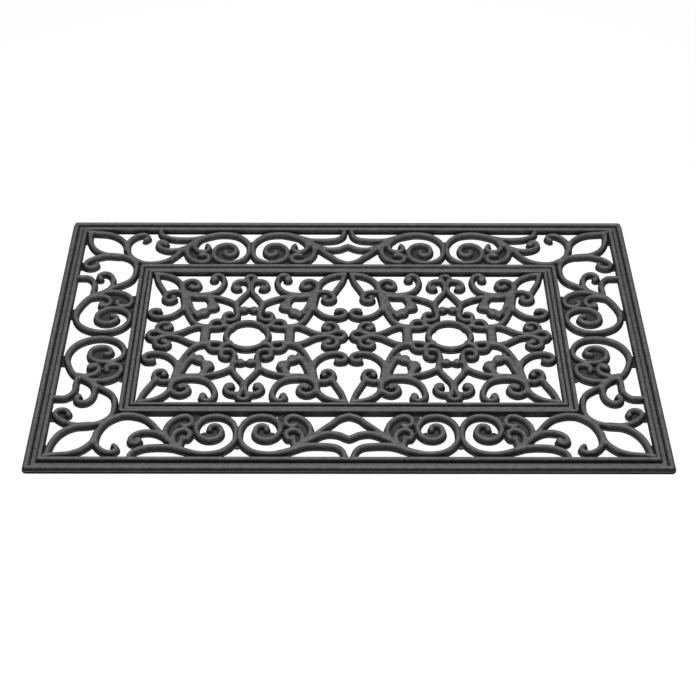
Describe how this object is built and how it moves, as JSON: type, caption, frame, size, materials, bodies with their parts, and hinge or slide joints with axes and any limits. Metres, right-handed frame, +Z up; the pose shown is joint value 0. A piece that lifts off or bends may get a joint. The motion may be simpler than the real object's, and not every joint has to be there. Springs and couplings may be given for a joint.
{
  "type": "scroll doormat",
  "caption": "Rectangular openwork doormat of moulded rubber, with a ribbed frame, a scroll border, an inner frame and a field of scrolls round paired rings.",
  "frame": {"origin": "middle of the underside, on the floor", "axes": "+X along the mat's length, +Y across its width, away from the viewer, +Z up through its thickness"},
  "size_m": [0.6, 0.4, 0.0072],
  "materials": {
    "rubber": "satin moulded black rubber"
  },
  "bodies": {
    "root": {"outer_rail_front": "rubber", "outer_rail_back": "rubber", "outer_rail_left": "rubber", "outer_rail_right": "rubber", "inner_rail_front": "rubber", "inner_rail_back": "rubber", "inner_rail_left": "rubber", "inner_rail_right": "rubber", "medallion_ring_left": "rubber", "medallion_ring_right": "rubber", "field_scroll_middle_left_front": "rubber", "field_scroll_middle_left_back": "rubber", "field_scroll_middle_right_front": "rubber", "field_scroll_middle_right_back": "rubber", "field_scroll_end_left_front": "rubber", "field_scroll_end_left_back": "rubber", "field_scroll_end_right_front": "rubber", "field_scroll_end_right_back": "rubber", "long_scroll_middle_left_front": "rubber", "long_scroll_middle_left_back": "rubber", "long_scroll_middle_right_front": "rubber", "long_scroll_middle_right_back": "rubber", "long_scroll_end_left_front": "rubber", "long_scroll_end_left_back": "rubber", "long_scroll_end_right_front": "rubber", "long_scroll_end_right_back": "rubber", "corner_scroll_left_front": "rubber", "corner_scroll_left_back": "rubber", "corner_scroll_right_front": "rubber", "corner_scroll_right_back": "rubber", "side_scroll_left_front": "rubber", "side_scroll_left_back": "rubber", "side_scroll_right_front": "rubber", "side_scroll_right_back": "rubber"}
  },
  "joints": []
}
